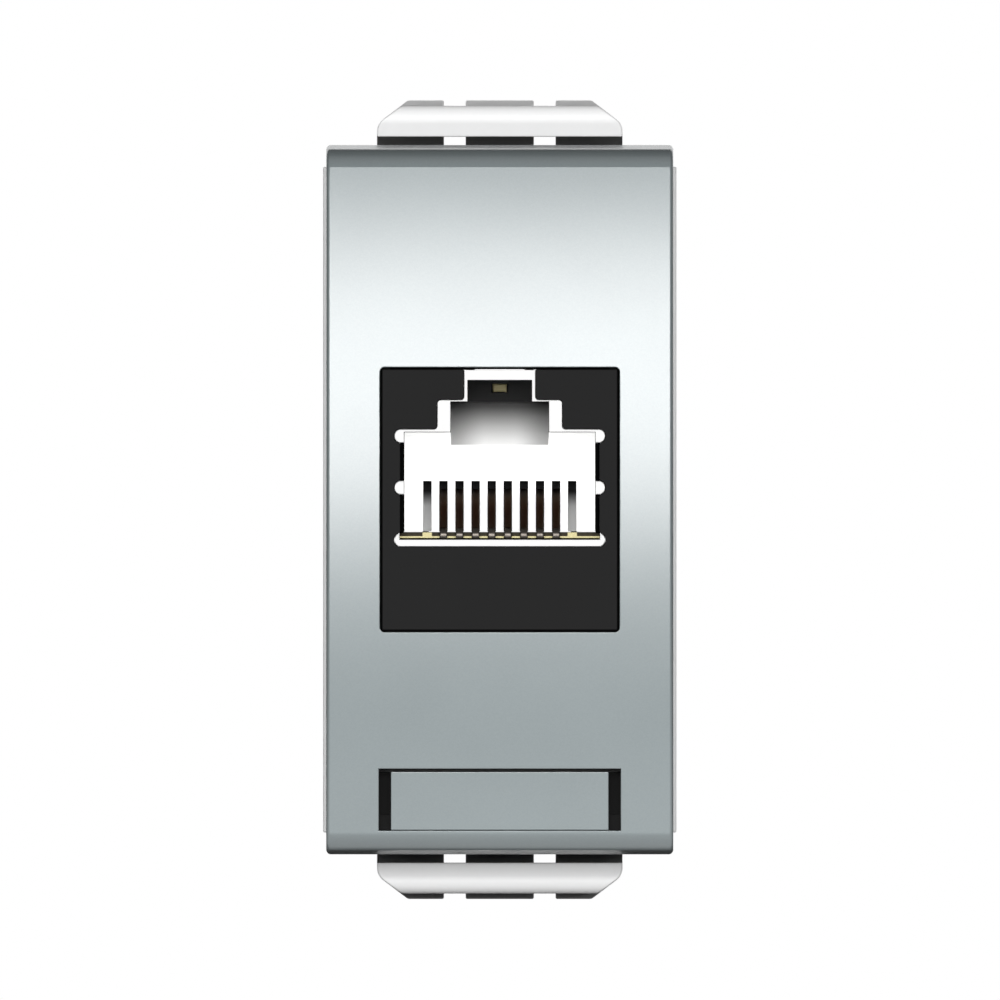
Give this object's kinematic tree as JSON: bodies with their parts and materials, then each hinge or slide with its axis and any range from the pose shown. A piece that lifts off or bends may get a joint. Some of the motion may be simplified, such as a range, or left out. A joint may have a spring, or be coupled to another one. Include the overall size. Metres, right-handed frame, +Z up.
{
  "type": "ethernet wall socket",
  "caption": "Snap-in network socket for a wall plate: crowned silver cover with a blank label field, black jack with a white stepped port and gold contacts, pale carrier with clips.",
  "frame": {"origin": "centre of the plane on which the cover rests against the support frame", "axes": "+Z up along the cover's long side, +X to the right seen from the front, +Y back into the wall; the face looks along -Y"},
  "size_m": [0.0224, 0.0294, 0.0506],
  "materials": {
    "cover_silver": "satin silver",
    "label_silver": "satin silver",
    "carrier_grey": "semi-gloss",
    "jack_black": "matt",
    "liner_white": "matt",
    "comb_white": "matt",
    "board": "satin",
    "terminal_black": "matt",
    "shield_gold": "satin",
    "contact_gold": "polished",
    "blade_tin": "tinned",
    "cap_pearl": "semi-gloss"
  },
  "bodies": {
    "root": {"front_cover": "cover_silver", "label_plate": "label_silver", "carrier": "carrier_grey", "jack_housing": "jack_black", "port_liner": "liner_white", "contact_comb": "comb_white", "contact_board": "board", "idc_block": "terminal_black", "pair_shield": "shield_gold", "wire_cap_left": "cap_pearl", "wire_cap_right": "cap_pearl", "contact_1": "contact_gold", "contact_2": "contact_gold", "contact_3": "contact_gold", "contact_4": "contact_gold", "contact_5": "contact_gold", "contact_6": "contact_gold", "contact_7": "contact_gold", "contact_8": "contact_gold", "idc_blade_1": "blade_tin", "idc_blade_2": "blade_tin", "idc_blade_3": "blade_tin", "idc_blade_4": "blade_tin", "idc_blade_5": "blade_tin", "idc_blade_6": "blade_tin", "idc_blade_7": "blade_tin", "idc_blade_8": "blade_tin"}
  },
  "joints": []
}
